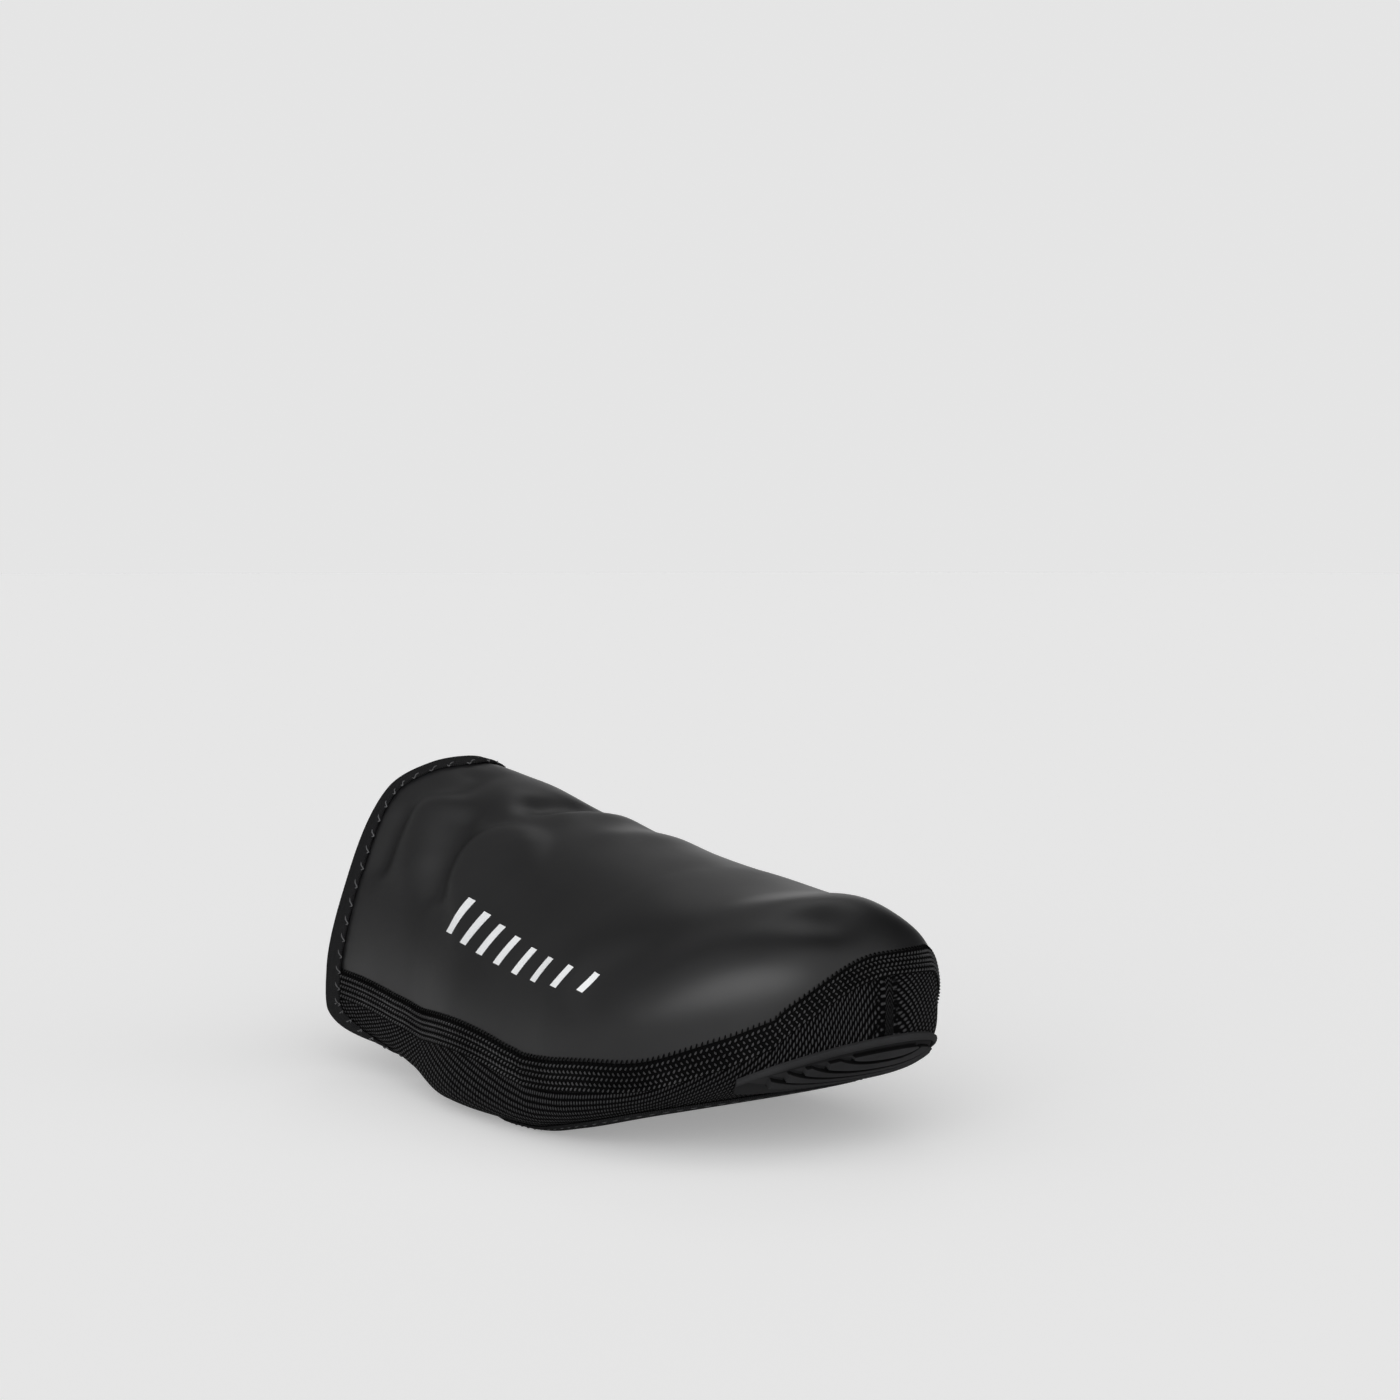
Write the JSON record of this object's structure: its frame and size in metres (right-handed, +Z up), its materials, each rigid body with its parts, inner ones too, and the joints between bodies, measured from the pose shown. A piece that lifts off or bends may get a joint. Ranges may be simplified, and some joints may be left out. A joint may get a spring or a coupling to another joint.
{
  "type": "cycling toe cover",
  "caption": "Soft cover for the front of a cycling shoe: coated upper, ribbed knit rand with a cleat opening, taped edges and a moulded toe pad.",
  "frame": {"origin": "middle of the footprint, on the surface that the cover rests on", "axes": "+X to the toe, +Z up, and the outer (lateral) side of the right foot towards -Y"},
  "size_m": [0.1832, 0.0976, 0.087],
  "materials": {
    "coated_neoprene": "satin coated black",
    "stretch_knit": "ribbed black knit",
    "binding_tape": "woven elastic, black",
    "moulded_rubber": "matt dark grey"
  },
  "bodies": {
    "root": {"upper_shell": "coated_neoprene", "sole_rand": "stretch_knit", "opening_binding": "binding_tape", "cleat_opening_binding": "binding_tape", "toe_pad": "moulded_rubber"}
  },
  "joints": []
}
